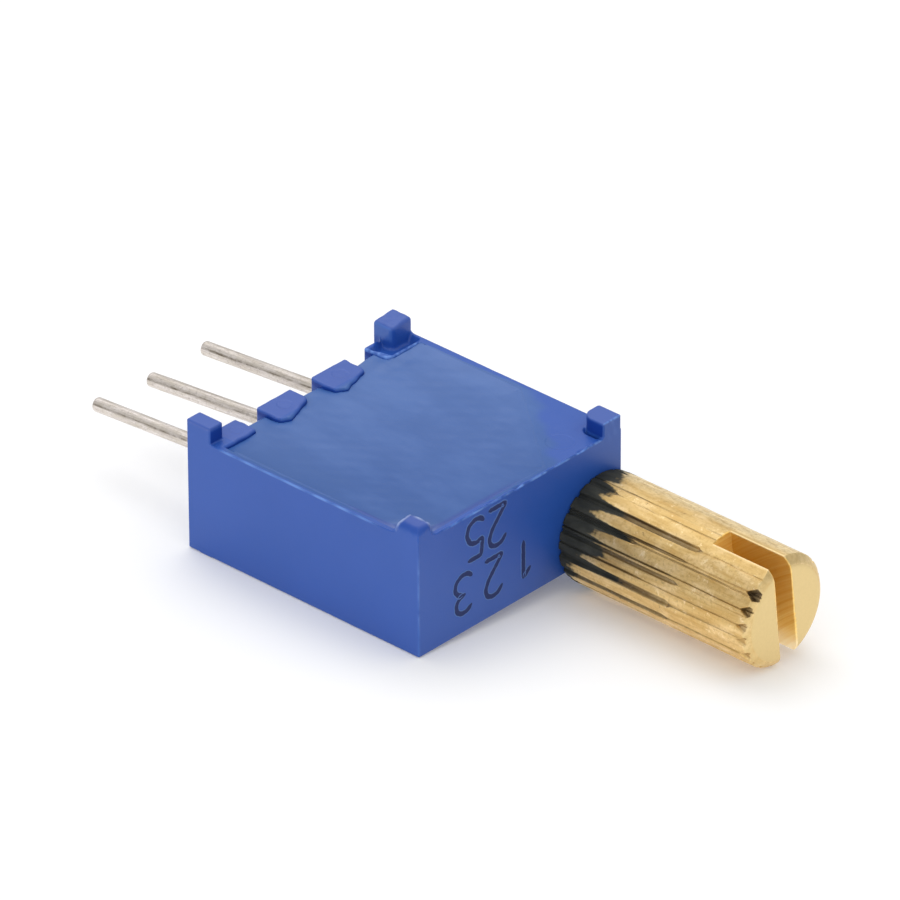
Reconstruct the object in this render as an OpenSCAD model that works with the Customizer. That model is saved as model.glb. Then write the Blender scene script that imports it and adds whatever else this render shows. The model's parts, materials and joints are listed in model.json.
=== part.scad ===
// Square many-turn trimmer potentiometer with a knurled brass handle.
// Origin: centre of the housing's closed face. +X runs along the shaft, from the pins to the
// handle, +Y along the row of pins, +Z from the closed face to the potted side. Millimetres.

/* [Housing] */
// Length of the housing, from the feet on the pin side to the shaft side
body_l = 10.03; // [9.8:0.01:13]
// Width of the housing, along the row of pins
body_w = 9.53; // [9.4:0.01:12.5]
// Height of the rim above the closed face
rim_h = 4.2; // [3.9:0.05:6]
// Height of the corner posts above the rim
post_rise = 0.63; // [0.3:0.01:1]
// Thickness of the three plain walls at the rim
wall = 0.3; // [0.25:0.01:0.4]
// Thickness of the floor under the rotor
floor_t = 0.45; // [0.4:0.01:0.55]
// Length of a corner post along X
post_l = 0.92; // [0.7:0.01:1.1]
// Width of the two posts on the side away from the shaft
post_w = 0.62; // [0.4:0.01:0.65]
// Width of the two posts on the shaft's side
shaft_post_w = 0.85; // [0.5:0.01:0.88]
// Distance that the pin wall stands back from the feet
pin_wall_inset = 0.5; // [0.2:0.01:0.6]
// Thickness of the pin wall, which its pads show on top
pin_wall_t = 1; // [0.8:0.01:1.1]
// Width of the notches that the pins leave through
notch_w = 0.95; // [0.8:0.01:1.2]
// Height of the ledge that the substrate lies on
ledge_z = 2.65; // [2.6:0.01:3]
// Distance from the rotor's axis to the solid corner above the shaft
land_r = 3.8; // [3.75:0.01:4.6]

/* [Pins] */
// Distance between neighbouring pins
pin_pitch = 2.54; // [2.5:0.01:2.6]
// Diameter of the wire
pin_d = 0.5; // [0.4:0.01:0.65]
// Length of wire outside the pin wall
pin_reach = 6.65; // [3:0.05:15]
// Downward bend of pins 1, 2 and 3 where they leave the wall, in degrees
pin_droop = [4.0, 5.6, 5.0]; // [0.5:0.1:12]
// Radius of that bend, at the middle of the wire
pin_bend_r = 0.8; // [0.5:0.1:2]
// Length of wire held under the substrate
pin_overlap = 0.4; // [0.3:0.01:0.42]

/* [Element] */
// Thickness of the substrate
substrate_t = 0.55; // [0.4:0.01:0.7]
// Thickness of the fired films
film_t = 0.03; // [0.02:0.005:0.04]
// Radius of the middle of the resistive track
track_r = 2.45; // [2.3:0.01:2.6]
// Width of the resistive track
track_w = 0.7; // [0.4:0.01:0.9]
// Half of the angle that the resistive track spans
track_half = 145; // [140:1:150]
// Radius of the centre contact disc
collector_r = 1.1; // [0.8:0.01:1.3]
// Width of the conductors that run to the pins
conductor_w = 0.6; // [0.4:0.01:0.8]

/* [Drive] */
// Turns of the shaft from one end of the track to the other
shaft_turns = 25; // [10:1:25]
// Teeth of the worm wheel
gear_teeth = 33; // [33:1:33]
// Module of the worm wheel
gear_module = 0.2; // [0.16:0.001:0.202]
// Pitch radius of the worm
worm_r = 0.58; // [0.5:0.01:0.6]
// Length of the threaded stretch
worm_l = 4.7; // [3:0.1:4.9]
// Thickness of the wheel's toothed rim
rim_t = 0.5; // [0.3:0.01:0.55]
// Free play between a thread's flank and a tooth's flank, along the shaft
flank_play = 0.075; // [0.06:0.005:0.09]
// Radius of the pivot that the rotor turns on
pivot_r = 0.6; // [0.4:0.01:0.8]
// Thickness of the wiper's sheet
wiper_t = 0.08; // [0.05:0.01:0.12]

/* [Shaft] */
// Distance of the shaft's axis from the housing's side
shaft_inset = 1.07; // [1.05:0.01:1.2]
// Height of the shaft's axis above the closed face
shaft_z = 1.1; // [1.08:0.01:1.2]
// Radius of the shaft's journal in the housing's bore
journal_r = 0.8; // [0.78:0.01:0.85]
// Radius of the shaft's two necks, which hold the clip and the sealing ring
neck_r = 0.42; // [0.35:0.01:0.5]
// Diameter of the handle
handle_d = 3.9; // [2.5:0.05:5]
// Length of the handle
handle_l = 7.9; // [3:0.1:12]
// Grooves round the handle
knurl_count = 21; // [12:1:26]
// Width of one groove
groove_w = 0.27; // [0.15:0.01:0.35]
// Depth of one groove
groove_depth = 0.12; // [0.05:0.01:0.2]
// Chamfer at the handle's outer end
handle_chamfer = 0.28; // [0.1:0.01:0.4]
// Width of the screwdriver slot
slot_w = 0.78; // [0.4:0.01:1]
// Depth of the screwdriver slot
slot_depth = 2.5; // [1:0.05:2.8]
// Lean of the slot from upright, in degrees
slot_lean = 7.5; // [0:0.5:90]

/* [Fits] */
// Clearance round the shaft, the rotor's pivot and the clip
running_gap = 0.02; // [0.015:0.005:0.03]
// Clearance round the substrate, and between the handle and the housing
drop_gap = 0.05; // [0.03:0.01:0.06]

/* [Hidden] */
$fn = 64;

// overlap that joins two shapes of one piece, and overrun of a cut
eps = 0.01;

// the housing's faces
x_feet = -body_l / 2;
x_front = body_l / 2;
y_low = -body_w / 2;
y_high = body_w / 2;
x_pin_wall = x_feet + pin_wall_inset;
x_cavity = x_pin_wall + pin_wall_t;
post_top = rim_h + post_rise;
potting_z = rim_h - 0.06;
potting_dish = 0.1;
land_angle = 51;

// the stretches along the shaft, from the handle inwards
shaft_y = y_high - shaft_inset;
bore_r = journal_r + running_gap;
journal_l = 2.05;
clip_t = 0.25;
clip_side = bore_r - 0.1;
journal_x = x_front - journal_l;
clip_x = journal_x + 0.35;
ring_x = clip_x + 0.95;
ring_d = journal_r - neck_r;
ring_seat = ring_d + 2 * running_gap;
worm_end_x = journal_x - worm_l;
tail_l = 0.9;
handle_x = x_front + drop_gap;
handle_end_x = handle_x + handle_l;

// the worm and the wheel that it meets
gear_r = gear_teeth * gear_module / 2;
addendum = 0.8 * gear_module;
dedendum = gear_module;
flank_tan = tan(20);
worm_pitch = PI * gear_module;
worm_turns = floor((worm_l - worm_pitch) / worm_pitch);
worm_steps = 24;
flank_half = worm_pitch / 4 - flank_play / 2;
tip_half = flank_half - addendum * flank_tan;
root_half = flank_half + dedendum * flank_tan;
worm_root_r = worm_r - dedendum;
worm_tip_r = worm_r + addendum;

// the rotor, in its well
rotor_x = journal_x - worm_l / 2;
rotor_y = shaft_y - gear_r - worm_r;
rotor_travel = shaft_turns * 360 / gear_teeth;
rotor_base_z = floor_t + running_gap;
rim_z = shaft_z - rim_t / 2;
boss_h = 0.2;
rotor_top_z = rim_z + rim_t + boss_h;
well_r = gear_r + addendum + 0.09;
hub_r = 1.2;
boss_r = 1.75;
peg_r = 0.15;
peg_x = boss_r - 0.4;
pivot_top_z = rotor_top_z - boss_h;

// the rotor's lug meets the housing's stop at each end of the travel
lug_half = 14;
stop_slack = 0.6;
stop_half = 180 - rotor_travel / 2 - lug_half - stop_slack;
stop_r = [1.9, 2.6];
stop_h = 0.25;

// the clip goes in sideways from the well, up to the well's wall
clip_y = rotor_y + sqrt(pow(well_r, 2) - pow(clip_x - rotor_x, 2)) + running_gap;

// the substrate, and what lies under it
substrate_x = [x_cavity + drop_gap, x_front - wall - drop_gap];
substrate_y = [y_low + post_w + 2 * drop_gap, y_high - shaft_post_w - 2 * drop_gap];
film_z = ledge_z - film_t;
solder_film = 0.03;
pin_z = film_z - solder_film - pin_d / 2;
pin_in_x = substrate_x[0] + pin_overlap;
pad_l = pin_overlap + 0.1;
solder_r = notch_w / 2 - drop_gap;
end_arc = 13;

// the wiper's fingers and their contact tips
tip_r = 0.06;
tip_z = film_z - tip_r - running_gap / 2;
collector_tip_r = 0.4;
finger_w = 0.22;
finger_y = 0.16;

function pin_y(i) = (i - 2) * pin_pitch;
function polar(r, a) = [r * cos(a), r * sin(a)];

// one tooth of the wheel, round the angle a
function tooth(a) = [
    polar(gear_r - dedendum, a - root_half / (gear_r - dedendum) * 180 / PI),
    polar(gear_r + addendum, a - tip_half / (gear_r + addendum) * 180 / PI),
    polar(gear_r + addendum, a + tip_half / (gear_r + addendum) * 180 / PI),
    polar(gear_r - dedendum, a + root_half / (gear_r - dedendum) * 180 / PI)
];

// a corner of the thread's section, at the turn a, the radius r and the offset along the shaft
function thread_point(a, r, off) =
    [rotor_x + worm_pitch * a / 360 + off, r * cos(a), r * sin(a)];

module box(low, high) {
    translate(low) cube(high - low);
}

module rod_x(r, x0, x1) {
    translate([x0, 0, 0]) rotate([0, 90, 0]) cylinder(r = r, h = x1 - x0);
}

module at_shaft() {
    translate([0, shaft_y, shaft_z]) children();
}

module at_rotor(z) {
    translate([rotor_x, rotor_y, z]) children();
}

module arc_plate(radii, a0, a1, h) {
    rotate([0, 0, a0])
        rotate_extrude(angle = a1 - a0)
            translate([radii[0], 0]) square([radii[1] - radii[0], h]);
}

// ---- housing ----

module corner_post(x0, y0, w, z0) {
    box([x0, y0, z0], [x0 + post_l, y0 + w, post_top]);
}

module front_posts() {
    corner_post(x_front - post_l, y_low, post_w, ledge_z - eps);
    corner_post(x_front - post_l, y_high - shaft_post_w, shaft_post_w, ledge_z - eps);
}

module housing_block() {
    box([x_pin_wall, y_low, 0], [x_front, y_high, rim_h]);
    corner_post(x_feet, y_low, post_w, 0);
    corner_post(x_feet, y_high - shaft_post_w, shaft_post_w, 0);
}

// all that lies further than r from the rotor's axis towards the solid corner
module beyond(r, z0, z1) {
    at_rotor(0) rotate([0, 0, land_angle])
        box([r, -body_l, z0], [r + body_l, body_l, z1]);
}

module potting_space() {
    difference() {
        box([x_cavity, y_low + wall, ledge_z], [x_front - wall, y_high - wall, post_top]);
        front_posts();
        beyond(land_r, ledge_z - eps, rim_h);
    }
}

// the round-bottomed notch of pin i, between x0 and x1
module notch(i, x0, x1) {
    translate([0, pin_y(i), 0]) {
        translate([0, 0, pin_z]) rod_x(notch_w / 2, x0, x1);
        box([x0, -notch_w / 2, pin_z], [x1, notch_w / 2, rim_h + eps]);
    }
}

// a shallow relief in the ledge, so that the films touch only the substrate
module film_relief() {
    box([x_cavity - eps, pin_y(1) - notch_w / 2, film_z - running_gap],
        [rotor_x, pin_y(3) + notch_w / 2, ledge_z + eps]);
}

module clip_slot() {
    box([clip_x, rotor_y, floor_t],
        [clip_x + clip_t, shaft_y + clip_side, shaft_z + clip_side]);
}

module housing() {
    color("#2848a8") {
        difference() {
            union() {
                housing_block();
                front_posts();
            }
            potting_space();
            at_rotor(floor_t) cylinder(r = well_r, h = ledge_z);
            at_shaft() rod_x(bore_r, worm_end_x, x_front + eps);
            at_shaft() rod_x(worm_root_r + running_gap, worm_end_x - tail_l - running_gap, x_front);
            for (i = [1:3]) notch(i, x_feet, pin_in_x + running_gap);
            film_relief();
            clip_slot();
        }
        at_rotor(floor_t - eps) {
            cylinder(r = pivot_r, h = pivot_top_z - floor_t + eps);
            arc_plate(stop_r, 180 - stop_half, 180 + stop_half, stop_h + eps);
        }
    }
}

// ---- potting: over the substrate, and down through the notches round each pin ----

// the hollow of the potting's top, which climbs to all four walls
module meniscus() {
    r_l = pow(body_l / 2, 2) / (2 * potting_dish);
    r_w = pow(body_w / 2, 2) / (2 * potting_dish);
    intersection() {
        translate([0, 0, potting_z - potting_dish + r_l]) rotate([90, 0, 0])
            cylinder(r = r_l, h = 2 * body_w, center = true, $fn = 720);
        translate([0, 0, potting_z - potting_dish + r_w]) rotate([0, 90, 0])
            cylinder(r = r_w, h = 2 * body_l, center = true, $fn = 720);
    }
}

module epoxy_fill() {
    color("#3a5cb4") difference() {
        union() {
            intersection() {
                potting_space();
                box([x_cavity, y_low, ledge_z], [x_front, y_high, potting_z]);
            }
            for (i = [1:3]) intersection() {
                notch(i, x_pin_wall, x_cavity + eps);
                box([x_pin_wall, y_low, 0], [x_cavity + eps, y_high, potting_z]);
            }
        }
        substrate_plate(ledge_z - eps);
        meniscus();
        for (i = [1:3]) wire(i);
    }
}

// ---- pins and their solder ----

module wire(i) {
    droop = pin_droop[i - 1];
    r = pin_d / 2;
    tip = pin_d / 8;
    translate([0, pin_y(i), pin_z]) rod_x(r, x_pin_wall, pin_in_x);
    translate([x_pin_wall, pin_y(i), pin_z - pin_bend_r]) rotate([90, 0, 0]) {
        rotate([0, 0, 90]) rotate_extrude(angle = droop) translate([pin_bend_r, 0]) circle(r = r);
        rotate([0, 0, droop]) translate([0, pin_bend_r, 0]) rotate([0, -90, 0]) rotate_extrude()
            polygon([[0, 0], [r, 0], [r, pin_reach - tip], [r - tip, pin_reach], [0, pin_reach]]);
    }
}

module pin(i) {
    color("#c9c6bc") wire(i);
}

// a collar of solder round the wire's inner end, flat against the film above it
module solder_joint(i) {
    color("#a8abae") difference() {
        intersection() {
            translate([0, pin_y(i), pin_z])
                rod_x(solder_r, substrate_x[0], pin_in_x - running_gap);
            box([x_feet, y_low, 0], [x_front, y_high, film_z]);
        }
        wire(i);
    }
}

// ---- substrate and its fired films ----

module substrate_plate(z0) {
    difference() {
        box([substrate_x[0], substrate_y[0], z0],
            [substrate_x[1], substrate_y[1], ledge_z + substrate_t]);
        beyond(land_r - 2 * drop_gap, z0 - eps, rim_h);
    }
}

module substrate() {
    color("#ece8dc") substrate_plate(ledge_z);
}

// an arc of the track's ring
module film_arc(a0, a1, h) {
    arc_plate([track_r - track_w / 2, track_r + track_w / 2], a0, a1, h);
}

module resistive_track() {
    color("#2c2a2c") at_rotor(film_z) film_arc(-track_half, track_half, film_t);
}

// the pad that pin i is soldered to, with a strip from it to the point p on the rotor's plane
module conductor(i, p) {
    target = [rotor_x + p[0], rotor_y + p[1]];
    pad_x = substrate_x[0] + pad_l / 2;
    run = [target[0] - pad_x, target[1] - pin_y(i)];
    translate([0, 0, film_z]) {
        box([substrate_x[0], pin_y(i) - solder_r, 0],
            [substrate_x[0] + pad_l, pin_y(i) + solder_r, film_t]);
        translate([pad_x, pin_y(i), 0]) rotate([0, 0, atan2(run[1], run[0])])
            box([0, -conductor_w / 2, 0], [norm(run), conductor_w / 2, film_t]);
    }
}

module wiper_conductor() {
    color("#b9b4a4") {
        at_rotor(film_z) cylinder(r = collector_r, h = film_t);
        conductor(2, [0, 0]);
    }
}

// side is -1 for the end that pin 1 feeds, and 1 for pin 3; its strip stops at the track
module end_conductor(side) {
    a0 = track_half;
    a1 = track_half + end_arc;
    color("#b9b4a4") {
        at_rotor(film_z) film_arc(side > 0 ? a0 : -a1, side > 0 ? a1 : -a0, film_t);
        difference() {
            conductor(2 + side, polar(track_r, side * (a0 + 0.7 * end_arc)));
            at_rotor(film_z - eps) film_arc(-track_half, track_half, film_t + 2 * eps);
        }
    }
}

// ---- rotor and wiper ----

module rotor_gear() {
    color("#d8d4c4") at_rotor(0) difference() {
        union() {
            translate([0, 0, rim_z]) linear_extrude(rim_t)
                polygon([for (k = [0:gear_teeth - 1]) each tooth(90 + k * 360 / gear_teeth)]);
            translate([0, 0, rotor_base_z]) cylinder(r = hub_r, h = rim_z - rotor_base_z + eps);
            translate([0, 0, pivot_top_z - eps]) cylinder(r = boss_r, h = boss_h + eps);
            translate([0, 0, rotor_base_z])
                arc_plate(stop_r, -lug_half, lug_half, rim_z - rotor_base_z + eps);
            for (a = [90, 270]) translate(concat(polar(peg_x, a), rotor_top_z - eps))
                cylinder(r = peg_r, h = wiper_t + 0.1);
        }
        translate([0, 0, rotor_base_z - eps])
            cylinder(r = pivot_r + running_gap, h = pivot_top_z + running_gap - rotor_base_z + eps);
    }
}

// a strip of the wiper's sheet at y, rising from x0 to a contact tip at x1
module finger(x0, x1, y) {
    z0 = wiper_t / 2;
    z1 = tip_z - rotor_top_z;
    lean = atan2(z1 - z0, x1 - x0);
    translate([0, y - finger_w / 2, 0]) {
        translate([x0, 0, z0]) rotate([0, -lean, 0])
            box([0, 0, -wiper_t / 2], [norm([x1 - x0, z1 - z0]), finger_w, wiper_t / 2]);
        translate([x1, 0, z1]) rotate([-90, 0, 0]) cylinder(r = tip_r, h = finger_w);
    }
}

module wiper_spring() {
    color("#d9c27a") at_rotor(rotor_top_z) {
        difference() {
            cylinder(r = boss_r - 0.1, h = wiper_t);
            for (a = [90, 270]) translate(concat(polar(peg_x, a), -eps))
                cylinder(r = peg_r, h = wiper_t + 2 * eps);
        }
        for (side = [-1, 1]) finger(peg_x - 0.5, track_r, side * finger_y);
        for (side = [-1, 1]) finger(-peg_x, -collector_tip_r / 2, side * finger_y);
    }
}

// ---- shaft, its ring and its clip ----

module thread() {
    a0 = -worm_turns * 180;
    rings = worm_turns * worm_steps;
    section = [
        [worm_root_r - 0.03, -root_half], [worm_root_r - 0.03, root_half],
        [worm_tip_r, tip_half], [worm_tip_r, -tip_half]
    ];
    points = [
        for (k = [0:rings]) for (s = section)
            thread_point(a0 + k * 360 / worm_steps, s[0], s[1])
    ];
    sides = [
        for (k = [0:rings - 1]) for (j = [0:3]) each [
            [4 * k + j, 4 * k + 4 + j, 4 * k + (j + 1) % 4],
            [4 * k + 4 + j, 4 * k + 4 + (j + 1) % 4, 4 * k + (j + 1) % 4]
        ]
    ];
    last = 4 * rings;
    polyhedron(concat(points), concat(sides, [[0, 1, 2, 3], [last + 3, last + 2, last + 1, last]]));
}

module handle() {
    handle_r = handle_d / 2;
    cutter_r = (pow(groove_w / 2, 2) + pow(groove_depth, 2)) / (2 * groove_depth);
    difference() {
        rod_x(handle_r, handle_x, handle_end_x);
        for (k = [0:knurl_count - 1]) rotate([k * 360 / knurl_count, 0, 0])
            translate([0, handle_r - groove_depth + cutter_r, 0])
                rod_x(cutter_r, handle_x - eps, handle_end_x + eps);
        rotate([0, 90, 0]) rotate_extrude() polygon([
            [handle_r - handle_chamfer, handle_end_x + eps],
            [handle_r + 1, handle_end_x + eps],
            [handle_r + 1, handle_end_x - handle_chamfer - 1]
        ]);
        rotate([slot_lean, 0, 0])
            box([handle_end_x - slot_depth, -slot_w / 2, -handle_d],
                [handle_end_x + eps, slot_w / 2, handle_d]);
    }
}

module adjusting_shaft() {
    color("#d8b45a") at_shaft() {
        difference() {
            rod_x(journal_r, journal_x, handle_x + eps);
            for (g = [[clip_x, clip_t], [ring_x - ring_seat / 2, ring_seat]])
                difference() {
                    rod_x(bore_r, g[0], g[0] + g[1]);
                    rod_x(neck_r, g[0] - eps, g[0] + g[1] + eps);
                }
        }
        rod_x(worm_root_r, worm_end_x - tail_l, journal_x + eps);
        thread();
        handle();
    }
}

module o_ring() {
    color("#5a2a20") at_shaft() translate([ring_x, 0, 0]) rotate([0, 90, 0])
        rotate_extrude() translate([neck_r + ring_d / 2, 0]) circle(d = ring_d);
}

// a fork that is pushed over the shaft's inner neck, from the well
module retaining_clip() {
    side = clip_side - running_gap;
    gape = neck_r + running_gap;
    color("#c8ccd0") difference() {
        box([clip_x + running_gap, clip_y, floor_t + running_gap],
            [clip_x + clip_t - running_gap, shaft_y + side, shaft_z + side]);
        at_shaft() {
            rod_x(gape, clip_x, clip_x + clip_t);
            box([clip_x, 0, -gape], [clip_x + clip_t, bore_r, gape]);
        }
    }
}

housing();
epoxy_fill();
adjusting_shaft();
pin(1);  // pin_1
pin(2);  // pin_2
pin(3);  // pin_3
o_ring();
retaining_clip();
rotor_gear();
wiper_spring();
substrate();
resistive_track();
wiper_conductor();
end_conductor(-1);  // end_conductor_1
end_conductor(1);  // end_conductor_3
solder_joint(1);  // solder_joint_1
solder_joint(2);  // solder_joint_2
solder_joint(3);  // solder_joint_3
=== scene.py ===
import json
import math

import bmesh
import bpy
import numpy as np
from mathutils import Matrix, Vector


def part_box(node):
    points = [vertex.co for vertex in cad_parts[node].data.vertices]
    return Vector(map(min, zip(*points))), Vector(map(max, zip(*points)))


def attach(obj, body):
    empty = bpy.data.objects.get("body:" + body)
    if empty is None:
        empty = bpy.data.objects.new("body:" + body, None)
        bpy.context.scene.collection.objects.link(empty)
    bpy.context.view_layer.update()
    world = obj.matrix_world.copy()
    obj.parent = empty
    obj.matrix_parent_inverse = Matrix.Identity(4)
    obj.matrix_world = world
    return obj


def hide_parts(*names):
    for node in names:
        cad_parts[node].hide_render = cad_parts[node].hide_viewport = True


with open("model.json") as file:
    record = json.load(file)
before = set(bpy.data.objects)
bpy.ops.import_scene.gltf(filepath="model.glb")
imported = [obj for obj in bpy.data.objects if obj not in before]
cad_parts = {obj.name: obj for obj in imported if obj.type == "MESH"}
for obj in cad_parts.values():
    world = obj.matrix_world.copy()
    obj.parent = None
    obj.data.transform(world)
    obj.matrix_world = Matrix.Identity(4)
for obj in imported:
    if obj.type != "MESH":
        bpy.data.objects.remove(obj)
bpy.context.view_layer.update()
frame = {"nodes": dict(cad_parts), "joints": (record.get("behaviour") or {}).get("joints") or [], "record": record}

# ---- Housing ----
# One injection moulding in a blue thermoset, open on the side that is potted. Its four corner
# posts stand above the rim, three notches let the pins out, and the mould's parting line leaves
# a thin ragged lip along the rim.

MM = 0.001
case_low, case_high = (np.array(corner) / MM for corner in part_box("housing"))
axle_at = {joint["name"]: np.array(joint["pos_m"]) / MM for joint in frame["joints"]}
shaft_y, shaft_z = axle_at["shaft_turn"][1:]
rotor_x, rotor_y = axle_at["rotor_turn"][:2]
rim_z, ledge_z, wall_t = 4.2, 2.65, 0.3
pin_wall_x = case_low[0] + 0.5
pads_end_x = pin_wall_x + 1.0
pin_pitch, wire_r = 2.54, 0.25
pin_gaps = (-pin_pitch, 0.0, pin_pitch)
pin_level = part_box("pin_1")[1].z / MM - wire_r
bore_r, bore_end_x = 0.82, -1.75
well_r, well_floor_z = 3.55, 0.45
pivot_r, pivot_foot_z, pivot_top_z = 0.6, 0.3, 1.35
land_turn, land_off = math.radians(51), 3.8


def block(x, y, z, low, high, edge):
    """Distance to a block whose edges are rounded to the radius edge."""
    a = np.maximum(low[0] + edge - x, x - high[0] + edge)
    b = np.maximum(low[1] + edge - y, y - high[1] + edge)
    c = np.maximum(low[2] + edge - z, z - high[2] + edge)
    outside = np.sqrt(np.maximum(a, 0) ** 2 + np.maximum(b, 0) ** 2 + np.maximum(c, 0) ** 2)
    return outside + np.minimum(np.maximum(np.maximum(a, b), c), 0) - edge


def post(x, y, z, low, high, corners, top_edge):
    """Distance to a post whose four upright edges have the radii corners: --, +-, -+, ++."""
    px, py = x - (low[0] + high[0]) / 2, y - (low[1] + high[1]) / 2
    r = np.where(px > 0, np.where(py > 0, corners[3], corners[1]),
                 np.where(py > 0, corners[2], corners[0]))
    qx = np.abs(px) - (high[0] - low[0]) / 2 + r
    qy = np.abs(py) - (high[1] - low[1]) / 2 + r
    side = np.minimum(np.maximum(qx, qy), 0) + np.hypot(np.maximum(qx, 0), np.maximum(qy, 0)) - r
    a, b = side + top_edge, np.maximum(z - high[2], low[2] - z) + top_edge
    return np.minimum(np.maximum(a, b), 0) + np.hypot(np.maximum(a, 0), np.maximum(b, 0)) - top_edge


def weld(a, b, fillet):
    """Both shapes as one, with a fillet of about that radius where they meet."""
    h = np.clip(0.5 + 0.5 * (b - a) / fillet, 0, 1)
    return b * (1 - h) + a * h - fillet * h * (1 - h)


def carve(a, b, fillet):
    """The first shape without the second, with the new edges softened."""
    return -weld(-a, b, fillet)


def waves(x, y, seed, length, count=9):
    """Smooth random waves of about that length, mostly between -1 and 1."""
    rng = np.random.default_rng(seed)
    total = 0.0
    for _ in range(count):
        angle, phase = rng.uniform(0, 2 * math.pi, 2)
        k = 2 * math.pi / (length * rng.uniform(0.6, 1.6))
        total = total + np.sin(k * (x * math.cos(angle) + y * math.sin(angle)) + phase)
    return total / math.sqrt(2 * count)


def ease(low, high, t):
    """0 below low, 1 above high, and a smooth step between."""
    u = np.clip((t - low) / (high - low), 0, 1)
    return u * u * (3 - 2 * u)


def lines(*stretches):
    """Grid lines through stretches of (start, step), up to the last start."""
    out = []
    for (start, step), (stop, _) in zip(stretches, stretches[1:]):
        count = max(1, round((stop - start) / step))
        out += list(np.linspace(start, stop, count, endpoint=False))
    return np.array(out + [stretches[-1][0]])


def slope(form, point, step=1e-4):
    """How fast a distance changes along x, y and z."""
    out = []
    for axis in range(3):
        ahead, behind = list(point), list(point)
        ahead[axis] = point[axis] + step
        behind[axis] = point[axis] - step
        out.append((form(*ahead) - form(*behind)) / (2 * step))
    return np.array(out)


def put(name, data):
    """A new object in the scene."""
    piece = bpy.data.objects.new(name, data)
    bpy.context.scene.collection.objects.link(piece)
    return piece


def paint(piece, **layers):
    """Values at the piece's points, under names that its material reads."""
    for name, values in layers.items():
        layer = piece.data.attributes.new(name, "FLOAT", "POINT")
        layer.data.foreach_set("value", np.asarray(values, np.float32))


def skin(name, form, a_lines, b_lines, c_lines, place=lambda a, b, c: (a, b, c), round_b=False,
         shade=lambda points, normals: normals):
    """A closed mesh over the surface where form is 0, one point in each grid cell that it crosses.
    place turns grid lines into millimetres, round_b joins the last b line to the first and closes
    the holes round the axis, and shade may change the normals."""
    grid = (a_lines, b_lines, c_lines)
    value = form(*place(a_lines[:, None, None], b_lines[None, :, None], c_lines[None, None, :]))
    value = np.broadcast_to(value, [len(g) for g in grid])
    solid = value < 0
    corners = [(i, j, k) for i in (0, 1) for j in (0, 1) for k in (0, 1)]
    filled = sum(solid[tuple(slice(o, n - 1 + o) for o, n in zip(c, value.shape))].astype(np.int8)
                 for c in corners)
    crossed = (filled > 0) & (filled < 8)
    cells = np.argwhere(crossed)
    total, hits = np.zeros((3, len(cells))), np.zeros(len(cells))
    at, deep = {}, {}
    for c in corners:
        i, j, k = (cells + c).T
        at[c] = np.array(np.broadcast_arrays(*place(a_lines[i], b_lines[j], c_lines[k])))
        deep[c] = value[i, j, k]
    for c in corners:
        for d in corners:
            if d <= c or sum(abs(u - v) for u, v in zip(c, d)) != 1:
                continue
            meets = (deep[c] < 0) != (deep[d] < 0)
            t = np.where(meets, deep[c] / np.where(meets, deep[c] - deep[d], 1), 0)
            total += np.where(meets, at[c] + (at[d] - at[c]) * t, 0)
            hits += meets
    points = total / hits
    for _ in range(4):
        g = slope(form, points)
        move = form(*points) / np.maximum((g ** 2).sum(0), 0.05)
        reach = np.sqrt((g ** 2).sum(0)) * np.abs(move)
        points = points - g * move * np.minimum(1, 0.06 / np.maximum(reach, 1e-9))
    normals = slope(form, points)
    normals = shade(points, normals / np.maximum(np.linalg.norm(normals, axis=0), 1e-9))
    number = np.full(crossed.shape, -1)
    number[tuple(cells.T)] = np.arange(len(cells))
    quads = []
    for axis in range(3):
        u, v = (axis + 1) % 3, (axis + 2) % 3
        first = np.take(solid, range(value.shape[axis] - 1), axis)
        second = np.take(solid, range(1, value.shape[axis]), axis)
        node = np.argwhere(first != second)
        for w in (u, v):
            low = 0 if round_b and w == 1 else 1
            node = node[(node[:, w] >= low) & (node[:, w] < crossed.shape[w])]
        outward = first[tuple(node.T)]
        ring = []
        for du, dv in ((-1, -1), (0, -1), (0, 0), (-1, 0)):
            cell = node.copy()
            cell[:, u] += du
            cell[:, v] += dv
            if round_b:
                cell[:, 1] %= crossed.shape[1]
            ring.append(number[tuple(cell.T)])
        ring = np.stack(ring, 1)
        ring[~outward] = ring[~outward][:, ::-1]
        quads.append(ring)
    faces = np.concatenate(quads).tolist()
    mesh = bpy.data.meshes.new(name)
    mesh.from_pydata((points.T * MM).tolist(), [], faces)
    if round_b:
        middle = bmesh.new()
        middle.from_mesh(mesh)
        bmesh.ops.holes_fill(middle, edges=middle.edges, sides=0)
        middle.to_mesh(mesh)
        middle.free()
    mesh.shade_smooth()
    mesh.normals_split_custom_set_from_vertices(normals.T.tolist())
    mesh.update()
    return put(name, mesh), points


def pad_end(y, z):
    """Where the pads end along X. Their upper parts are skewed."""
    skewed = np.interp(y, [-3.0, -2.07, -1.75, -0.47, 0.47, 0.8, 2.07, 3.0],
                       [-3.58, -3.42, -3.25, -3.76, -3.38, -3.2, -3.62, -3.46])
    return pads_end_x + (skewed + 0.02 * waves(y, 0, 19, 0.5) - pads_end_x) * ease(3.3, 3.5, z)


def notch_half(x, y):
    """Half the width of a pin's notch, which flares to the rounded ends of the pads."""
    u = np.clip((x - pad_end(y, 4.0) + 0.25) / 0.3, 0, 0.96)
    return 0.45 + 0.25 * (1 - np.sqrt(1 - u ** 2))


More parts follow.
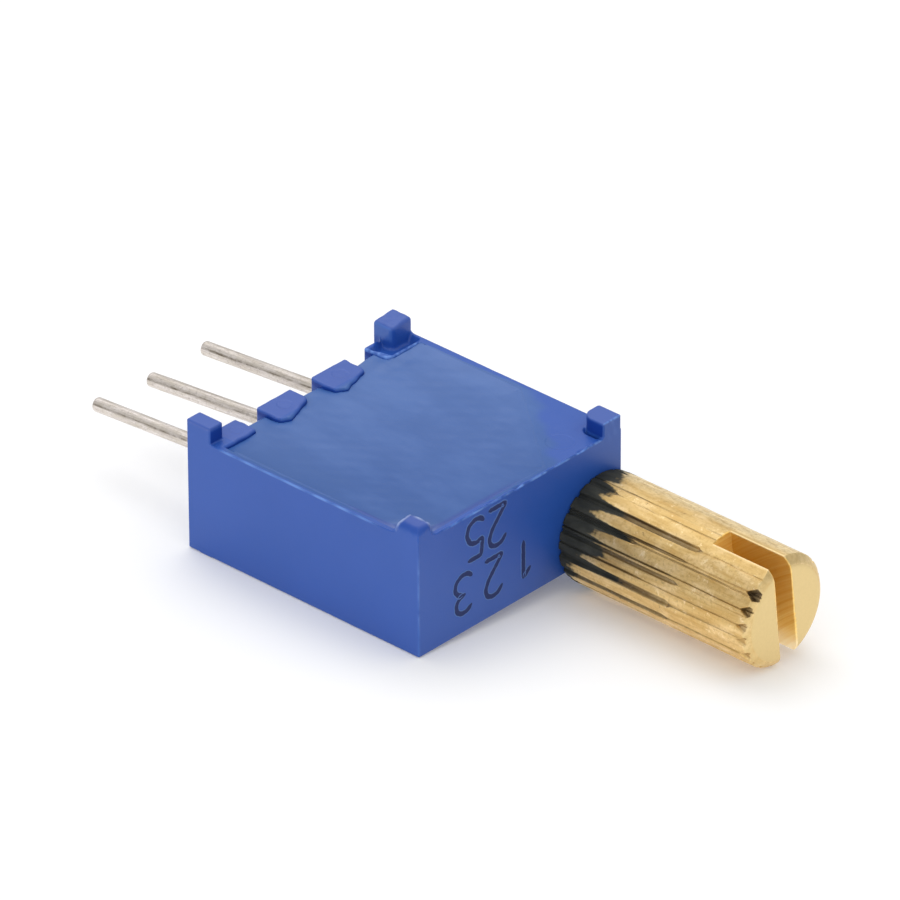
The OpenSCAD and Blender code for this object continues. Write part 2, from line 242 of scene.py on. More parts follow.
near_top_z, far_top_z, right_top_z, front_top_z = 4.8, 4.815, 4.74, 4.78
near_post_high = (case_low[0] + 1.02, case_low[1] + 0.61)
far_foot_low, far_foot_x = (case_low[0], case_high[1] - 0.86), case_low[0] + 0.92
far_post_low, far_post_high = (case_low[0] + 0.12, case_high[1] - 0.955), (case_low[0] + 0.99, case_high[1])
right_post_low, right_post_r = (case_high[0] - 0.96, case_high[1] - 0.84), 0.42
front_post_x, front_post_high = case_high[0] - 0.915, case_low[1] + 0.62
front_flare_x, front_flare_y = 0.42, 0.36
# the edge of the far corner's ledge, as X and the Y there
far_edge = ([-4.6, -4.2, -3.95, -3.55, -3.42, -3.34], [2.95, 2.98, 3.08, 3.17, 3.3, 9.0])
# marks that the mould's ejector pins leave: centre and radius
ejector_marks = [(-4.0, 1.3, 0.27), (-4.0, -1.28, 0.27), (-4.05, -3.5, 0.22), (4.085, 2.875, 0.47)]


def beyond_land(x, y):
    """How far a point lies beyond the edge of the corner land, towards its corner."""
    return (x - rotor_x) * math.cos(land_turn) + (y - rotor_y) * math.sin(land_turn) - land_off


def inside_rim(x, y):
    """How far inside the rim's inner edge and the land's edge a point is."""
    off_walls = np.minimum(case_high[0] - wall_t - x, case_high[1] - wall_t - np.abs(y))
    return np.minimum(off_walls, -beyond_land(x, y))


def far_ledge(x, y):
    """How far inside the far corner's ledge a point is."""
    return np.minimum(pads_end_x + 0.06 - x, y - np.interp(x, *far_edge))


def rim_top(x, y):
    """Height of the rim, the pads and the corner land, with their marks and hollows."""
    top = rim_z + 0.006 * waves(x, y, 1, 0.7) * ease(4.7, 4.5, np.abs(x) + 0 * y)
    off_edge = far_ledge(x, y)
    hollow = 0.27 * ease(0.07, 0.24, off_edge) * ease(4.7, 4.5, y)
    hollow = hollow * ease(-4.42, -4.22, x + 0.4 * np.maximum(y - 3.3, 0))
    off_right = np.hypot(np.maximum(right_post_low[0] + right_post_r - x, 0),
                         np.maximum(right_post_low[1] + right_post_r - y, 0)) - right_post_r
    dip = 0.24 * ease(0.17, 0.0, off_right) * ease(4.94, 4.7, x) * ease(4.3, 4.0, y) * ease(4.0, 4.3, x)
    # the inner edge dips a little under the potting
    top = top - hollow - dip - 0.02 * ease(-0.2, 0.02, inside_rim(x, y)) * ease(-3.2, -2.9, x)
    for mark_x, mark_y, radius in ejector_marks:
        top = top - 0.018 * ease(radius + 0.035, radius - 0.035, np.hypot(x - mark_x, y - mark_y))
    return top


def case_form(x, y, z):
    """Distance to the housing's surface, in millimetres."""
    body = block(x, y, z, (pin_wall_x, case_low[1], 0), (case_high[0], case_high[1], rim_z + 0.03), 0.06)
    body = np.maximum(body, (z - rim_top(x, y)) * 0.98)
    ragged = ease(4.84, 4.97, x) * ease(-4.15, -3.85, y) * ease(3.95, 3.7, y)
    nick = 0.05 * np.maximum(0, waves(y, 0, 3, 0.8) - 0.1) + 0.02 * np.maximum(0, waves(y, 0, 4, 0.34))
    body = carve(body, -(z - rim_z + ragged * nick - 0.004), 0.02)
    lip_y = 0.024 + 0.01 * waves(x, 0, 5, 0.5) - 4 * np.maximum(0, np.abs(x) - 4.0)
    body = np.minimum(body, np.hypot(y - case_low[1] - 0.034, z - rim_z + 0.004) - lip_y)
    lip_x = 0.032 + 0.016 * waves(y, 0, 6, 0.7) - 4 * np.maximum(0, np.abs(y) - 4.0)
    body = np.minimum(body, np.hypot(x - case_high[0] + 0.044, z - rim_z + nick) - lip_x)
    room = np.maximum(pad_end(y, z) - x, -inside_rim(x, y))
    body = carve(body, np.maximum(room, ledge_z - z), 0.03 + 0.1 * ease(-3.0, -3.3, x))
    well = np.maximum(np.hypot(x - rotor_x, y - rotor_y) - well_r, well_floor_z - z)
    body = np.maximum(body, -well)
    for gap in pin_gaps:
        side = np.abs(y - gap) - notch_half(x, y) - 0.014 * waves(x, y, 2, 0.4)
        if gap > 1:
            side = np.where(y > gap, y - np.interp(x, *far_edge), side)
        foot = np.hypot(y - gap, np.minimum(z - pin_level, 0)) - 0.47
        notch = np.maximum(np.maximum(side, foot), x - pads_end_x - 0.3)
        body = carve(body, notch, 0.1)
    near_post = post(x, y, z, (case_low[0], case_low[1], 0), (*near_post_high, near_top_z),
                     (0.05, 0.06, 0.08, 0.07), 0.07)
    far_foot = post(x, y, z, (*far_foot_low, 0), (far_foot_x, case_high[1], 3.6), (0.08, 0.1, 0.06, 0.06), 0.1)
    far_top = far_top_z - 0.07 * ease(0.1, 0.9, far_post_high[1] - y) + 0.012 * waves(x, y, 16, 0.5)
    far_post = post(x, y, z, (*far_post_low, 2), (*far_post_high, far_top), (0.1, 0.16, 0.06, 0.12), 0.14)
    under = np.clip(front_top_z - z, 0, 0.7)
    front_top = front_top_z + 0.03 - 0.28 * np.clip(front_post_high - y, 0, 0.62)
    front_post = post(x, y, z, (front_post_x - front_flare_x * under, case_low[1], 1),
                      (case_high[0], front_post_high + front_flare_y * under, front_top),
                      (0.2, 0.06, 0.24, 0.2), 0.22 + 0.04 * waves(x, y, 17, 0.4))
    right_post = post(x, y, z, (*right_post_low, 1), (case_high[0], case_high[1], right_top_z),
                      (right_post_r, 0.07, 0.1, 0.06), 0.05)
    for one, fillet in ((near_post, 0.06), (far_foot, 0.06), (far_post, 0.14), (front_post, 0.12),
                        (right_post, 0.08)):
        body = weld(body, one, fillet)
    outer = np.maximum(np.maximum(case_low[0] - x, x - case_high[0]), np.abs(y) - case_high[1])
    body = np.maximum(body, np.maximum(outer, -z))
    bore = np.maximum(np.hypot(y - shaft_y, z - shaft_z) - bore_r, bore_end_x - x)
    body = np.maximum(body, -bore)
    pivot = np.maximum(np.hypot(x - rotor_x, y - rotor_y) - pivot_r, z - pivot_top_z)
    return np.minimum(body, np.maximum(pivot, pivot_foot_z - z))


housing, housing_points = skin(
    "moulded_case", case_form,
    lines((-5.08, 0.025), (-4.94, 0.07), (-4.84, 0.03), (-4.42, 0.045), (-3.3, 0.2), (0.7, 0.12), (3.5, 0.065),
          (4.66, 0.045), (4.86, 0.022), (5.08, 1)),
    lines((-4.83, 0.022), (-4.68, 0.05), (-4.23, 0.04), (-3.2, 0.048), (-1.95, 0.055), (-0.5, 0.06), (0.5, 0.055),
          (2.05, 0.048), (3.3, 0.055), (3.8, 0.04), (4.68, 0.025), (4.83, 1)),
    lines((-0.07, 0.025), (0.1, 0.25), (1.8, 0.1), (2.5, 0.18), (3.6, 0.06), (4.0, 0.022), (4.28, 0.06),
          (4.66, 0.022), (4.88, 1)))

# painted highlights along the rims, the corners and the ledge, and a painted lighter face on the far post
px, py, pz = housing_points
off_low, off_high = py - case_low[1], case_high[0] - px
rim_y = ease(0.06, 0.012, np.hypot(off_low - 0.01, pz - rim_z + 0.01))
rim_y *= ease(-3.95, -3.4, px) * ease(3.7, 2.2, px) * np.clip(0.6 + 0.5 * waves(px, 0, 7, 0.9), 0.15, 1)
rim_x = ease(0.055, 0.012, np.hypot(off_high - 0.012, pz - rim_z + 0.012))
rim_x *= ease(-3.7, -3.3, py) * ease(3.95, 3.7, py)
rim_x *= np.clip(0.45 + 0.7 * waves(py, 0, 8, 0.7) + 0.25 * waves(py, 0, 18, 0.2), 0.05, 1)
front = ease(0.09, 0.0, np.hypot(off_high, off_low)) * ease(4.1, 3.3, pz)
front *= np.clip(0.25 + 0.25 * waves(pz, 0, 9, 0.6), 0, 1)
crown = ease(0.07, 0.012, np.hypot(off_high, pz - right_top_z)) * (py > 3.9)
crown *= np.clip(0.7 + 0.5 * waves(py, 0, 15, 0.2), 0, 1)
streak = 0.2 * ease(0.9, 0.1, right_top_z - pz) * (px > 4.99) * (py > 3.8)
streak *= np.clip(waves(pz * 0.4, py, 10, 0.3), 0, 1)
ridge = ease(0.12, 0.05, far_ledge(px, py)) * ease(4.1, 4.17, pz) * (px < -3.3) * (py > 2.8) * (py < 4.5)
ridge *= np.clip(0.4 + 0.5 * waves(px, py, 14, 0.2), 0, 0.75)
pale_face = 0.3 * ease(0.06, 0.02, np.abs(py - far_post_low[1])) * ease(4.15, 4.35, pz) * (px < -3.9)
worn = np.maximum.reduce([rim_y, rim_x, front, crown, streak, ridge, pale_face])

# a painted highlight along the bead of epoxy that clings to the front post
under = front_top_z - pz
climb = np.maximum(front_post_x - front_flare_x * under - px, py - front_post_high - front_flare_y * under)
bead = ease(0.15, 0.05, np.abs(climb + 0.04)) * ease(4.22, 4.4, pz) * (px > 3.3) * (py < -3.3)
bead *= np.clip(0.5 + 0.8 * waves(px * 0.6 + pz, py, 28, 0.3), 0, 0.7) * (0.35 + 0.65 * ease(4.4, 4.6, pz))

# the cured potting has crept over the rim as a thin film, so there the case has its colour
short_of_edge = np.minimum.reduce([
    off_low - wall_t + 0.2 - 0.15 * ease(1.5, 3.4, px) + 0.02 * waves(px, 0, 24, 0.7),
    case_high[1] - wall_t - py + 0.03 + 0.14 * ease(-2.8, 0.6, px) + 0.03 * waves(px, 0, 25, 0.8),
    off_high - wall_t + 0.02 + 0.18 * ease(-2.2, -0.9, py) + 0.03 * waves(py, 0, 26, 0.4),
    0.2 * (0.45 - beyond_land(px, py) + 0.14 * waves(px, py, 27, 1.3)),
    0.3 * (px - pads_end_x - 0.1), -far_ledge(px, py)])
filmed = ease(-0.04, 0.05, short_of_edge)
filmed *= ease(rim_z - 0.1, rim_z - 0.04, pz) * ease(rim_z + 0.35, rim_z + 0.1, pz)

# painted shade: a deep, dull blue in the corners, the creases at the pads' feet, the posts' inner sides and over the
# front post's crown; and a painted sheen: a greyer blue on the tops
seam = ease(rim_z - 0.05, rim_z - 0.1, pz) * ease(3.92, 4.02, pz)
seam *= (px < pads_end_x + 0.5) * (px > pin_wall_x + 0.02) * (py < 3.0) * (off_low > 0.05)
inner = (px < -3.9) * (py < -3.9) * (px > case_low[0] + 0.3) * (off_low > 0.04)
inner |= (px > 3.9) * (py > 3.7) * (off_high > 0.05)
inner = inner * ease(4.74, 4.6, pz) * ease(rim_z - 0.02, rim_z + 0.08, pz)
crown_of_post = ease(4.45, 4.62, pz) * (px > 3.8) * (py < -4.0)
dull = np.maximum.reduce([0.6 * seam, 0.75 * inner, 0.3 * crown_of_post])
# painted sheen on the pad tops and the post tops
pad_tops = ease(rim_z - 0.06, rim_z - 0.02, pz) * ease(rim_z + 0.1, rim_z + 0.05, pz)
pad_tops *= (px < pads_end_x) * (py < 3.0) * (off_low > 0.7)
handled = np.maximum(ease(4.64, 4.73, pz), pad_tops)
paint(housing, worn=worn, filmed=filmed, dull=dull, bead=bead, handled=handled)


class Finish:
    """A material, or the studio's own light, that is put together from shader nodes."""

    def __init__(self, owner, output="ShaderNodeOutputMaterial"):
        self.owner = bpy.data.materials.new(owner) if isinstance(owner, str) else owner
        self.owner.use_nodes = True
        self.tree = self.owner.node_tree
        self.tree.nodes.clear()
        self.output = self.add(output)

    def add(self, kind, sockets=None, **settings):
        """A node with its sockets linked or set."""
        node = self.tree.nodes.new(kind)
        for key, value in settings.items():
            setattr(node, key, value)
        for key, value in (sockets or {}).items():
            if isinstance(value, bpy.types.NodeSocket):
                self.tree.links.new(value, node.inputs[key])
            else:
                node.inputs[key].default_value = value
        return node

    def millimetres(self, scale=(1, 1, 1)):
        """The piece's own coordinates in millimetres, stretched by scale."""
        coordinates = self.add("ShaderNodeTexCoord").outputs["Object"]
        return self.add("ShaderNodeMapping", {"Vector": coordinates,
                        "Scale": [s / MM for s in scale]}).outputs["Vector"]

    def noise(self, vector, scale, detail=3.0, rough=0.55):
        return self.add("ShaderNodeTexNoise", {"Vector": vector, "Scale": scale, "Detail": detail,
                        "Roughness": rough}).outputs["Fac"]

    def ramp(self, fac, *stops):
        """A colour ramp through stops of (position, colour or grey)."""
        node = self.add("ShaderNodeValToRGB", {"Fac": fac})
        elements = node.color_ramp.elements
        while len(elements) < len(stops):
            elements.new(0.5)
        for element, (position, shade) in zip(elements, stops):
            element.position = position
            element.color = (*([shade] * 3 if np.isscalar(shade) else shade), 1)
        return node.outputs["Color"]

    def math(self, operation, *values):
        return self.add("ShaderNodeMath", dict(enumerate(values)), operation=operation).outputs[0]

    def blend(self, fac, a, b):
        node = self.add("ShaderNodeMix", data_type="RGBA")
        for socket, value in ((node.inputs[0], fac), (node.inputs[6], a), (node.inputs[7], b)):
            if isinstance(value, bpy.types.NodeSocket):
                self.tree.links.new(value, socket)
            else:
                socket.default_value = (*value, 1) if not np.isscalar(value) else value
        return node.outputs[2]

    def mask(self, name):
        return self.add("ShaderNodeAttribute", attribute_name=name).outputs["Fac"]

    def bump(self, height, distance, strength=1.0, under=None):
        sockets = {"Height": height, "Distance": distance * MM, "Strength": strength}
        if under is not None:
            sockets["Normal"] = under
        return self.add("ShaderNodeBump", sockets).outputs["Normal"]

    def surface(self, **sockets):
        names = {key.replace("_", " "): value for key, value in sockets.items()}
        for key, value in names.items():
            if isinstance(value, tuple) and len(value) == 3:
                names[key] = (*value, 1)
        return self.end(self.add("ShaderNodeBsdfPrincipled", names))

    def end(self, shader):
        """Send the shader to the output."""
        self.tree.links.new(shader.outputs[0], self.output.inputs["Surface"])
        return self.owner


def resin_tone(finish):
    """The potting's own colour: darker towards the front corner, with the pour's slow swirls."""
    x, y, _ = finish.add("ShaderNodeSeparateXYZ", {"Vector": finish.millimetres()}).outputs
    slant = finish.math("MULTIPLY_ADD", finish.math("SUBTRACT", y, x), 1 / 13, 0.5)
    swirl = finish.noise(finish.millimetres((0.45, 1.0, 1.0)), 0.55, 4.0, 0.6)
    slant = finish.ramp(slant, (0.12, 0.0), (0.88, 1.0))
    tone = finish.blend(slant, (0.009, 0.082, 0.335), (0.050, 0.138, 0.42))
    tone = finish.blend(finish.ramp(swirl, (0.36, 0.4), (0.6, 0.0)), tone, (0.014, 0.084, 0.30))
    return finish.blend(finish.ramp(swirl, (0.46, 0.0), (0.7, 0.4)), tone, (0.070, 0.165, 0.44))


def give(piece, material, body, slot, *replaced):
    """The last steps for each piece: its material, body and the nodes that it stands for; slot is not used."""
    piece.data.materials.clear()
    piece.data.materials.append(material)
    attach(piece, body)
    if replaced:
        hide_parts(*replaced)


blue = Finish("moulded_blue")
place = blue.millimetres()
clouds = blue.noise(place, 0.35, 2.0)
grain = blue.noise(place, 16.0, 4.0, 0.6)
blue_base = blue.blend(clouds, (0.017, 0.084, 0.39), (0.024, 0.098, 0.45))
# painted shade: a deep, dull blue in the corners and creases
blue_base = blue.blend(blue.mask("dull"), blue_base, (0.004, 0.030, 0.26))
# painted sheen: a greyer blue on the tops
blue_base = blue.blend(blue.math("MULTIPLY", blue.mask("handled"), 0.4), blue_base, (0.080, 0.128, 0.42))
blue_base = blue.blend(blue.mask("filmed"), blue_base, resin_tone(blue))
# painted highlights: a light blue along the rims, the corners and the far post's face
blue_base = blue.blend(blue.math("MULTIPLY", blue.mask("worn"), 0.85), blue_base, (0.16, 0.33, 0.78))
# painted highlight: a pale blue along the epoxy bead on the front post
blue_base = blue.blend(blue.mask("bead"), blue_base, (0.42, 0.52, 0.78))
give(housing, blue.surface(
    Base_Color=blue_base, Specular_IOR_Level=blue.math("MULTIPLY_ADD", blue.mask("dull"), -0.3, 0.4),
    Roughness=blue.math("MULTIPLY_ADD", grain, 0.12, 0.34),
    Normal=blue.bump(grain, 0.006, 0.35)), "case", "housing_plastic", "housing")

# ---- Rotor and wiper ----
# A worm wheel moulded in pale nylon turns on the housing's pivot. A stamped spring of copper
# alloy is staked on it, and drags its contact tips over the fired films.


def even_finish(name, tones, rough, bump, metallic=0.0, scale=(1, 1, 1)):
    """A finish that is alike all over. tones holds a noise's scale and the two colours it mixes,
    rough a noise's scale, spread and start, and bump a noise's scale, depth and strength."""
    finish = Finish(name)
    place = finish.millimetres(scale)
    return finish.surface(
        Base_Color=finish.blend(finish.noise(place, tones[0]), *tones[1:]), Metallic=metallic,
        Roughness=finish.math("MULTIPLY_ADD", finish.noise(place, rough[0]), *rough[1:]),
        Normal=finish.bump(finish.noise(place, bump[0]), *bump[1:]))


def coat(material, *nodes):
    """Give CAD solids that keep their own shape their material."""
    for node in nodes:
        frame["nodes"][node].data.materials.clear()
        frame["nodes"][node].data.materials.append(material)


coat(even_finish("pale_nylon", (1.2, (0.66, 0.62, 0.50), (0.76, 0.73, 0.62)),
                 rough=(14.0, 0.2, 0.38), bump=(22.0, 0.006, 0.4)), "rotor_gear")

coat(even_finish("rolled_alloy", (2.0, (0.72, 0.52, 0.26), (0.85, 0.68, 0.40)),
                 rough=(3.0, 0.25, 0.22), bump=(4.0, 0.003, 0.4), metallic=1.0, scale=(1, 14, 14)), "wiper_spring")

# ---- Adjusting shaft ----
# One turned brass piece: a straight-knurled handle with a sawn driver slot outside, a journal
# and the worm inside. The knurl is worn, and flux has left a dark stain round its base.

crest_r = 1.95
handle_x = case_high[0] + 0.015
tip_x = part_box("adjusting_shaft")[1].x / MM
slot_half, slot_floor_x, slot_lean = 0.39, tip_x - 2.5, math.radians(7.5)
tip_chamfer = 0.27
bite_reach = 0.48
journal_clear_r = 0.9
# each groove of the knurl: its angle from +Y towards +Z, half its width in degrees and its depth,
# the X past which it is worn, the half width and depth that are left there, and how dirty it is
grooves = [(angle, 3.2, 0.11, 9.0, 2.6, 0.09, 0.5, 0.2)
           for angle in (2, 19, 36, 222, 239, 256, 273, 290, 307, 325, 343)] + [
    (53, 2.6, 0.07, 7.0, 1.6, 0.03, 0.4, 0.0), (69, 1.6, 0.03, 7.0, 1.0, 0.01, 0.3, 0.0),
    (96.5, 0.9, 0.03, 7.5, 0.8, 0.012, 0.3, 0.25), (105, 3.0, 0.06, 6.2, 0.8, 0.015, 0.9, 0.1),
    (122, 3.3, 0.1, 10.2, 0.6, 0.02, 1.0, 0.1), (137.6, 1.4, 0.09, 9.9, 0.8, 0.03, 0.85, 0.35),
    (141.2, 2.2, 0.1, 7.9, 1.0, 0.045, 0.9, 0.7), (155.2, 1.1, 0.09, 9.5, 0.8, 0.05, 0.95, 0.6),
    (160.3, 2.6, 0.08, 9.9, 0.8, 0.02, 0.95, 0.2), (171, 1.4, 0.06, 8.4, 0.9, 0.03, 0.9, 0.4),
    (184, 4.2, 0.11, 9.7, 1.6, 0.035, 1.0, 0.3), (205, 3.8, 0.1, 9.4, 2.0, 0.05, 0.75, 0.3)]
# bites in the tip's edge: angle, half width, depth, and how much painted shade lies in them
bites = [(138, 7.0, 0.26, 1.0), (155.5, 6.0, 0.18, 0.7), (172, 5.5, 0.11, 0.4), (188, 5.5, 0.09, 0.25),
         (208, 7.0, 0.1, 0.25)]
# how far the stain reaches along X past the housing, by angle
stain_reach = [(60, 0.36), (78, 0.66), (88, 0.92), (92, 0.85), (95, 0.6), (97, 0.4), (99, 0.85), (103, 1.03),
               (109, 1.0), (114, 0.72), (117, 1.1), (119, 1.9), (125, 1.9), (127.5, 1.15), (132, 0.85), (135, 1.15),
               (138, 2.6), (143, 2.7), (145, 1.45), (149, 1.3), (152, 1.15), (154.5, 1.9), (157.5, 1.45), (162, 1.9),
               (167, 1.9), (170, 1.65), (173.5, 1.1), (177, 0.9), (180.5, 2.4), (187, 2.6), (189, 0.6), (196, 0.4),
               (202, 0.7), (207, 0.6), (212, 0.3), (240, 0.4)]


def turn(degrees, centre):
    """The signed angle from centre, between -180 and 180."""
    return (degrees - centre + 180) % 360 - 180


def end_x(y, z):
    """Where the handle's sawn-off end lies, a little out of square."""
    return tip_x - 0.01 * y + 0.012 * z


def bite(degrees, before_end):
    """How deep the tip's edge is bitten, at a distance before the end."""
    t = np.clip((bite_reach - before_end) / 0.36, 0, 1)
    return sum(depth * np.clip(3 * (t - np.abs(turn(degrees, angle)) / half), 0, 1)
               for angle, half, depth, _ in bites)


def chamfer_length(degrees):
    """How far the end's chamfer runs along the handle. It is shorter on the bitten side."""
    return tip_chamfer - 0.14 * ease(100, 125, degrees % 360) * ease(250, 215, degrees % 360)


def handle_form(x, y, z):
    """Distance to the handle's surface, in millimetres."""
    y, z = y - shaft_y, z - shaft_z
    r = np.hypot(y, z)
    degrees = np.degrees(np.arctan2(z, y))
    before_end = end_x(y, z) - x
    radius = crest_r - 0.005 - 0.005 * waves(x * 0.5, degrees * 0.034, 11, 0.5)
    radius = radius - 0.02 * ease(0.3, 0.0, x - handle_x)
    for angle, half, depth, wear_x, half_left, depth_left, _, _ in grooves:
        left = ease(-0.12, 0.12, x - wear_x)
        wide = half + (half_left - half) * left
        u = np.abs(turn(degrees, angle + 0.25 * np.sin(x * 1.3 + angle))) / wide
        radius = radius - (depth + (depth_left - depth) * left) * ease(1.05, 0.45, u)
    side = r - radius + bite(degrees, before_end)
    length = chamfer_length(degrees)
    chamfer = ((r - crest_r + tip_chamfer) * length - before_end * tip_chamfer) / np.hypot(length, tip_chamfer)
    body = carve(carve(side, -chamfer, 0.02), before_end, 0.12)
    body = carve(body, x - handle_x, 0.03)
    across = y * math.cos(slot_lean) + z * math.sin(slot_lean) - 0.012 * np.sin(z * 1.4)
    return carve(body, np.maximum(np.abs(across) - slot_half, slot_floor_x + 0.06 * across - x), 0.05)


handle, handle_points = skin(
    "knurled_handle", handle_form,
    lines((0.012, 0.12), (1.5, 0.05), (1.75, 0.022), (1.99, 1)),
    np.radians(lines((0, 1.4), (90, 0.56), (214, 1.4), (360, 1))),
    lines((5.0, 0.03), (5.15, 0.06), (7.0, 0.09), (9.3, 0.065), (10.38, 0.03), (10.55, 0.12), (12.45, 0.025),
          (13.01, 1)),
    place=lambda r, t, x: (x + 0 * r * t, shaft_y + r * np.cos(t), shaft_z + r * np.sin(t)),
    round_b=True)

# the flux stain, and the dirt that is left in the grooves
px, py, pz = handle_points
py, pz = py - shaft_y, pz - shaft_z
angle, out = np.degrees(np.arctan2(pz, py)) % 360, np.hypot(py, pz)
before_end = end_x(py, pz) - px
reach = np.interp(angle, *zip(*stain_reach)) + 0.1 * waves(angle * 0.034, px, 12, 0.2)
reach += 0.06 * waves(angle * 0.034, px * 0.1, 20, 0.12)
dark = (1 - ease(-0.13, 0.17, px - handle_x - reach)) * (px < 9)
grime = np.zeros(len(px))
for groove_angle, half, _, wear_x, half_left, _, dirt, dirt_left in grooves:
    left = ease(-0.45, 0.35, px - wear_x + 0.15 * waves(px * 0.4, angle * 0.034, 33, 0.3))
    wide = half + (half_left - half) * left
    u = np.abs(turn(angle, groove_angle + 0.25 * np.sin(px * 1.3 + groove_angle))) / wide
    strength = (dirt + (dirt_left - dirt) * left) * (1 - 0.4 * ease(handle_x + 1.5, wear_x, px) * (1 - left))
    strength *= (1 - 0.45 * left) * (1 - 0.5 * ease(10.8, 12.2, px))
    grime = np.maximum(grime, ease(1.2, 0.75, u) * strength)

# the sawn slot, the end's face, painted shade in the bites in its edge, and painted highlights and shade on the
# slot's lips, the slot's lower walls and the handle's upper side
across = py * math.cos(slot_lean) + pz * math.sin(slot_lean)
in_slot = ease(0.05, 0.01, np.maximum(np.abs(across) - slot_half, slot_floor_x - px))
past_chamfer = before_end - chamfer_length(angle) * np.clip((out - crest_r) / tip_chamfer + 1, 0, 1)
faced = ease(0.04, 0.015, past_chamfer) * (1 - in_slot)
faced *= 1 - 0.45 * ease(crest_r - tip_chamfer, crest_r - 0.2, out)
grime = grime * (out > crest_r - 0.17) * (1 - in_slot)
darkness = sum(shade * ease(half + 3, half - 2, np.abs(turn(angle, centre)))
               for centre, half, _, shade in bites)
# painted shade in the bites of the tip's edge and on the chamfer beside them
bitten = ease(0.03, 0.08, bite(angle, before_end)) * np.minimum(darkness, 1) * (1 - ease(0.0, 0.3, faced))
grime = np.maximum(grime * (1 - faced), bitten)
# painted highlight along the slot's lips
lip = ease(0.1, 0.03, np.abs(np.abs(across) - slot_half)) * (px > slot_floor_x)
lip *= ease(0.07, 0.02, crest_r - out)
saw = np.hypot(px - tip_x - 6, pz + 8)
# painted highlight: the slot's walls paler towards the bottom
scuffed = ease(-0.7, -1.8, pz) * np.clip(0.75 + 0.5 * waves(saw, 0, 30, 0.25), 0, 1)
# painted highlight: a cream band along the handle's upper side
pale = 0.75 * ease(40, 52, angle) * ease(88, 70, angle) * (1 - in_slot) * (1 - faced)
pale *= np.clip(0.9 + 0.4 * waves(px * 0.5, angle * 0.034, 34, 0.3), 0, 1)
# painted shade: a darker band that dims the highlight below the handle's top
tarnish = 0.3 * ease(82, 94, angle) * ease(125, 108, angle) * (1 - faced)
paint(handle, stain=dark, grime=grime, faced=faced, sawn=in_slot, lip=lip, saw=saw, scuffed=scuffed,
      pale=pale, tarnish=tarnish)

brass = Finish("worn_brass")
place = brass.millimetres()
streaks = brass.noise(brass.millimetres((0.5, 7, 7)), 1.0, 4.0, 0.6)
patches = brass.noise(brass.millimetres((0.9, 2.2, 2.2)), 1.1, 3.0, 0.6)
speck = brass.noise(place, 9.0, 4.0, 0.7)
grit = brass.noise(place, 3.4, 5.0, 0.75)
arcs = brass.noise(brass.add("ShaderNodeCombineXYZ", {"X": brass.mask("saw")}).outputs[0], 7.0, 3.0, 0.6)
metal = brass.blend(brass.ramp(streaks, (0.36, 0.0), (0.64, 1.0)),
                    (0.61, 0.405, 0.150), (0.745, 0.54, 0.235))
metal = brass.blend(brass.ramp(patches, (0.48, 0.0), (0.68, 0.75)), metal, (0.86, 0.66, 0.36))
metal = brass.blend(brass.ramp(patches, (0.3, 0.5), (0.42, 0.0)), metal, (0.60, 0.36, 0.11))
# painted shade on the band below the handle's top
metal = brass.blend(brass.mask("tarnish"), metal, (0.50, 0.36, 0.16))
# painted highlight on the handle's upper side
rubbed = brass.math("MULTIPLY", brass.mask("pale"), brass.ramp(streaks, (0.3, 0.6), (0.6, 1.0)))
metal = brass.blend(rubbed, metal, (1.0, 0.86, 0.56))
metal = brass.blend(brass.ramp(speck, (0.36, 0.5), (0.5, 0.0)), metal, (0.48, 0.30, 0.10))
metal = brass.blend(brass.ramp(grit, (0.32, 0.55), (0.37, 0.0)), metal, (0.24, 0.14, 0.055))
metal = brass.blend(brass.ramp(grit, (0.58, 0.0), (0.68, 0.7)), metal, (0.93, 0.76, 0.46))
# the grooves' dirt and the bites' painted shade, in one dark brown
settled = brass.math("MULTIPLY", brass.mask("grime"), brass.ramp(streaks, (0.36, 1.0), (0.62, 0.7)))
metal = brass.blend(settled, metal, (0.085, 0.06, 0.042))
end_face = brass.blend(speck, (0.62, 0.47, 0.22), (0.75, 0.59, 0.30))
metal = brass.blend(brass.mask("faced"), metal, end_face)
sawn = brass.blend(brass.ramp(arcs, (0.35, 0.0), (0.7, 1.0)), (0.86, 0.55, 0.14), (1.0, 0.80, 0.34))
# painted highlight on the slot's lower walls
sawn = brass.blend(brass.mask("scuffed"), sawn, (1.0, 0.90, 0.66))
metal = brass.blend(brass.mask("sawn"), metal, sawn)
# painted highlight: paler brass along the slot's lips
metal = brass.blend(brass.math("MULTIPLY", brass.mask("lip"), 0.7), metal, (0.86, 0.70, 0.42))
# painted shade where the bites reach the end's face
bitten_edge = brass.math("MULTIPLY", brass.mask("grime"), brass.mask("faced"))
metal = brass.blend(bitten_edge, metal, (0.07, 0.05, 0.035))
flux = brass.blend(brass.ramp(patches, (0.4, 0.0), (0.7, 1.0)),
                   (0.018, 0.020, 0.015), (0.052, 0.052, 0.038))
metal = brass.blend(brass.mask("stain"), metal, flux)
rough = brass.math("MULTIPLY_ADD", speck, 0.2, 0.42)
rough = brass.math("MULTIPLY_ADD", brass.mask("stain"), 0.25, rough)
bumped = brass.bump(streaks, 0.012, 0.35)
bumped = brass.bump(speck, 0.018, 0.5, bumped)
bumped = brass.bump(brass.math("MULTIPLY", arcs, brass.mask("sawn")), 0.02, 0.6, bumped)
give(handle, brass.surface(
    Base_Color=metal, Metallic=brass.math("SUBTRACT", 1.0, brass.math("MULTIPLY", brass.mask("stain"), 0.85)),
    Roughness=rough, Normal=bumped), "shaft", "shaft_brass", "adjusting_shaft")


def outside(face):
    """Whether a face of the CAD shaft is on its handle, or wider than its journal."""
    out = max(math.hypot(v.co.y - shaft_y * MM, v.co.z - shaft_z * MM) for v in face.verts)
    return max(v.co.x for v in face.verts) > (case_high[0] + 0.07) * MM or out > journal_clear_r * MM


